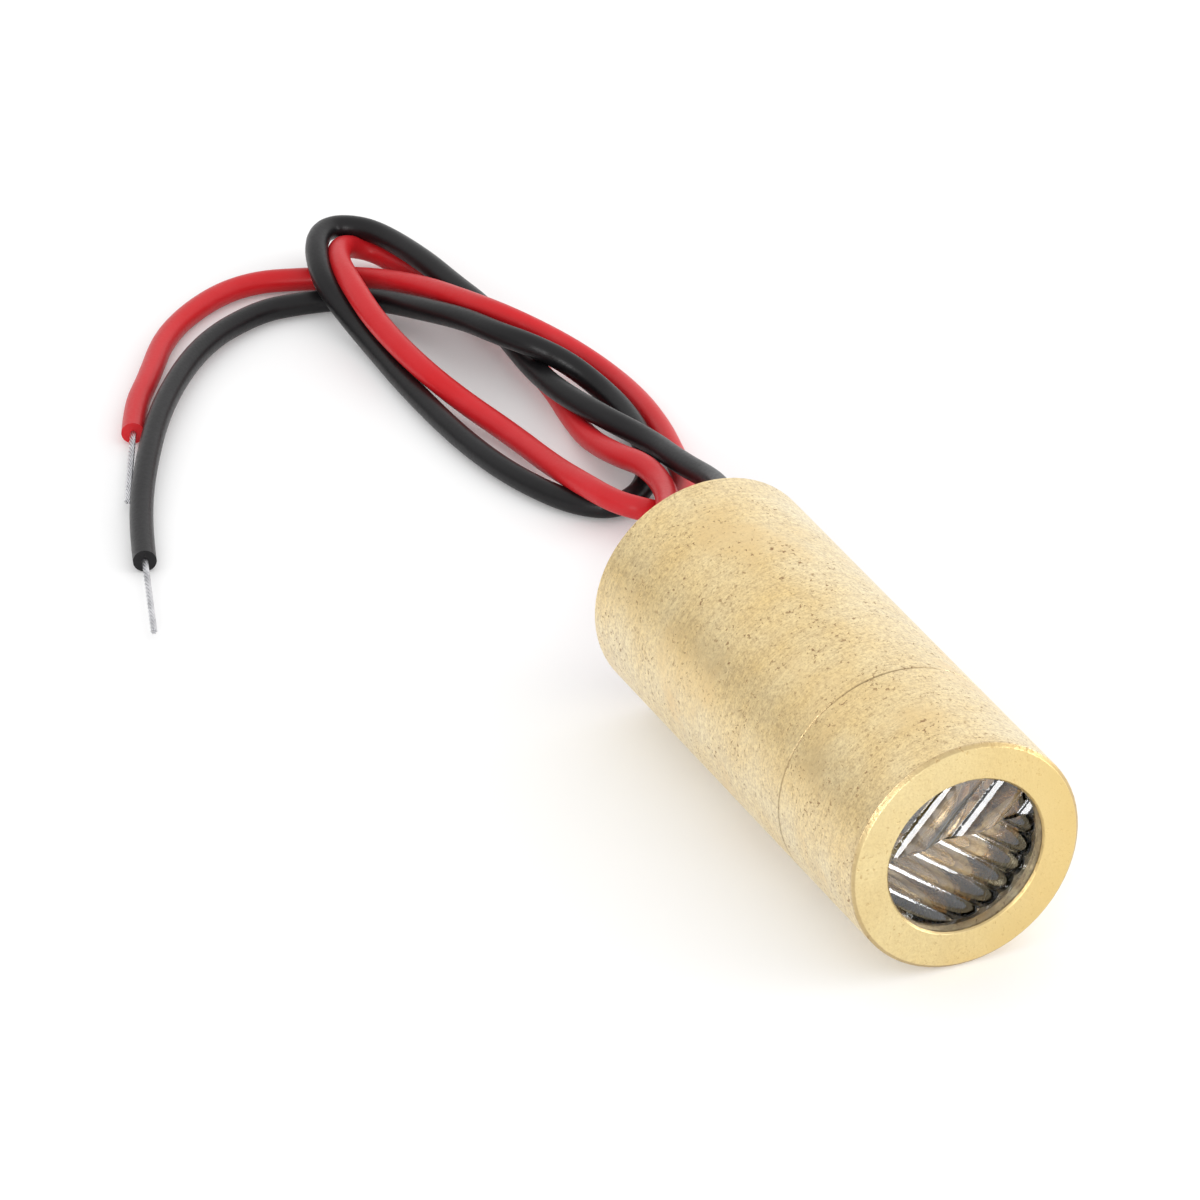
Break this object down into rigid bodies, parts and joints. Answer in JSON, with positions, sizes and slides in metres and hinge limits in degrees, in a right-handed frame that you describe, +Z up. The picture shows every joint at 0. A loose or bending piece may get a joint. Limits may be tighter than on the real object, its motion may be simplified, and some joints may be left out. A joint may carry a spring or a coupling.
{
  "type": "laser diode module",
  "caption": "Small brass laser diode module with a moulded cross-line lens in front, a focusable collimator inside and two thin folded leads with bared ends behind.",
  "frame": {"origin": "centre of the housing's front face, on the beam axis", "axes": "+X along the housing's axis, the way the beam leaves; +Z up, as the module lies on its side on a surface"},
  "size_m": [0.0576, 0.0246, 0.009],
  "materials": {
    "brass": "turned, mottled and slightly tarnished",
    "holder_brass": "turned, clean",
    "clear_plastic": "clear moulded acrylic",
    "coated_lens": "moulded, with a dark coating",
    "window_glass": "polished glass",
    "black_plastic": "moulded, matt",
    "spring_steel": "drawn wire",
    "gold_plate": "gold plated",
    "can_nickel": "nickel plated",
    "bead_glass": "fired glass bead",
    "submount_ceramic": "fired, metallised",
    "chip_metal": "polished chip",
    "board_green": "solder resist",
    "capacitor_ceramic": "fired, unglazed",
    "solder": "bright solder",
    "seal_resin": "cast potting resin",
    "red_pvc": "soft extruded PVC",
    "black_pvc": "soft extruded PVC",
    "tinned_metal": "tinned"
  },
  "bodies": {
    "root": {"front_cap": "brass", "cross_line_lens": "clear_plastic", "lens_spacer_ring": "holder_brass", "barrel": "brass", "collimator_holder": "holder_brass", "collimating_lens": "coated_lens", "focus_spring": "spring_steel", "diode_stem": "gold_plate", "diode_can": "can_nickel", "diode_window": "window_glass", "diode_pins": "gold_plate", "pin_glass_seals": "bead_glass", "laser_submount": "submount_ceramic", "laser_chip": "chip_metal", "monitor_photodiode": "chip_metal", "diode_clamp_ring": "holder_brass", "driver_board": "board_green", "driver_transistor": "black_plastic", "transistor_legs": "tinned_metal", "resistors": "black_plastic", "capacitor": "capacitor_ceramic", "chip_end_caps": "tinned_metal", "pin_solder": "solder", "lead_solder": "solder", "lead_inner_ends": "tinned_metal", "rear_seal": "seal_resin", "red_lead": "red_pvc", "black_lead": "black_pvc", "red_lead_tip": "tinned_metal", "black_lead_tip": "tinned_metal"}
  },
  "joints": []
}
